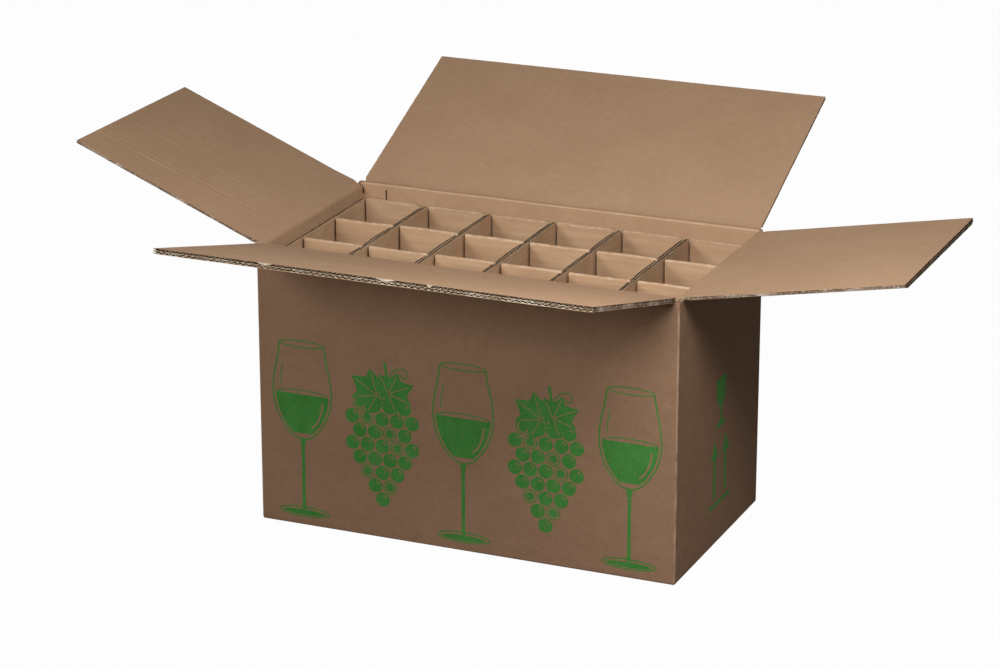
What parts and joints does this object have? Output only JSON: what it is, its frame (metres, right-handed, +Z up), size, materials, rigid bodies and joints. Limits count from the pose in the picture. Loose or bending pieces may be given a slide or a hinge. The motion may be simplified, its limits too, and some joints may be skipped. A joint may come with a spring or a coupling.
{
  "type": "bottle shipping box",
  "caption": "Double-wall board carton standing with its top flaps open, with folded board dividers that part it into upright bottle cells.",
  "frame": {"origin": "centre of the base, on the face that the box stands on", "axes": "+Z up, +X along the length of the box, the printed front wall faces -Y"},
  "size_m": [1.0496, 0.7987, 0.4597],
  "materials": {
    "carton_board": "matt brown kraft liner",
    "divider_board": "matt light brown test liner"
  },
  "bodies": {
    "carton": {"carton_body": "carton_board", "divider_insert_1": "divider_board", "divider_insert_2": "divider_board", "divider_insert_3": "divider_board", "divider_insert_4": "divider_board", "divider_insert_5": "divider_board", "divider_insert_6": "divider_board"},
    "front_flap": {"top_flap_front": "carton_board"},
    "back_flap": {"top_flap_back": "carton_board"},
    "left_flap": {"top_flap_left": "carton_board"},
    "right_flap": {"top_flap_right": "carton_board"}
  },
  "joints": [
    {"name": "front_fold", "type": "hinge", "parent": "carton", "child": "front_flap", "pos_m": [0, -0.14275, 0.3504], "axis": [-1, 0, 0], "range_deg": [-59.8, 165.2]},
    {"name": "back_fold", "type": "hinge", "parent": "carton", "child": "back_flap", "pos_m": [0, 0.146, 0.354], "axis": [1, 0, 0], "range_deg": [-68.4, 156.6]},
    {"name": "left_fold", "type": "hinge", "parent": "carton", "child": "left_flap", "pos_m": [-0.27, 0, 0.3468], "axis": [0, 1, 0], "range_deg": [-67.2, 157.8]},
    {"name": "right_fold", "type": "hinge", "parent": "carton", "child": "right_flap", "pos_m": [0.27, 0, 0.3468], "axis": [0, -1, 0], "range_deg": [-55.6, 169.4]}
  ]
}
